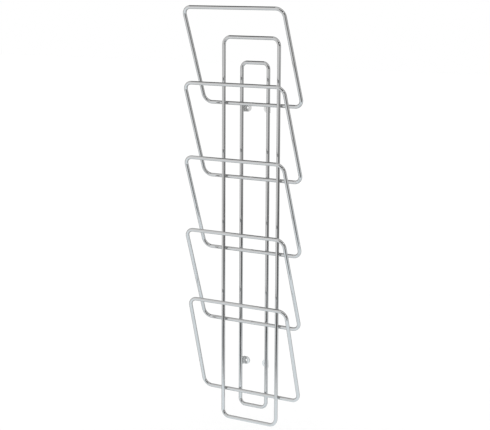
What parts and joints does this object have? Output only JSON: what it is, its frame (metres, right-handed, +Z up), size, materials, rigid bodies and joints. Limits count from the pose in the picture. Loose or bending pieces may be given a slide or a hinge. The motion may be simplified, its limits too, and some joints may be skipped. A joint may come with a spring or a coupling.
{
  "type": "wall magazine rack",
  "caption": "Tall wall-hung magazine rack of bent chrome-plated wire: rounded loops lean out as open pockets from two upright wire frames with drilled wall lugs.",
  "frame": {"origin": "on the wall plane, midway between the four screw holes", "axes": "+Z up the rack; +X to the right seen from the room; the front faces -Y and the wall is on the +Y side"},
  "size_m": [0.251, 0.1097, 0.9156],
  "materials": {
    "chrome_wire": "bright chrome plate on drawn steel wire",
    "plated_lug": "chrome plate on blanked and bent steel strip",
    "plated_weld": "chrome plate over weld metal, slightly uneven"
  },
  "bodies": {
    "root": {"outer_frame": "chrome_wire", "inner_frame": "chrome_wire", "pocket_loop_1": "chrome_wire", "pocket_loop_2": "chrome_wire", "pocket_loop_3": "chrome_wire", "pocket_loop_4": "chrome_wire", "pocket_loop_5": "chrome_wire", "wall_lug_lower_left": "plated_lug", "wall_lug_lower_right": "plated_lug", "wall_lug_upper_left": "plated_lug", "wall_lug_upper_right": "plated_lug", "lug_weld_lower_left": "plated_weld", "lug_weld_lower_right": "plated_weld", "lug_weld_upper_left": "plated_weld", "lug_weld_upper_right": "plated_weld", "weld_1_outer_left": "plated_weld", "weld_1_outer_right": "plated_weld", "weld_1_inner_left": "plated_weld", "weld_1_inner_right": "plated_weld", "weld_2_outer_left": "plated_weld", "weld_2_outer_right": "plated_weld", "weld_2_inner_left": "plated_weld", "weld_2_inner_right": "plated_weld", "weld_3_outer_left": "plated_weld", "weld_3_outer_right": "plated_weld", "weld_3_inner_left": "plated_weld", "weld_3_inner_right": "plated_weld", "weld_4_outer_left": "plated_weld", "weld_4_outer_right": "plated_weld", "weld_4_inner_left": "plated_weld", "weld_4_inner_right": "plated_weld", "weld_5_outer_left": "plated_weld", "weld_5_outer_right": "plated_weld", "weld_5_inner_left": "plated_weld", "weld_5_inner_right": "plated_weld"}
  },
  "joints": []
}
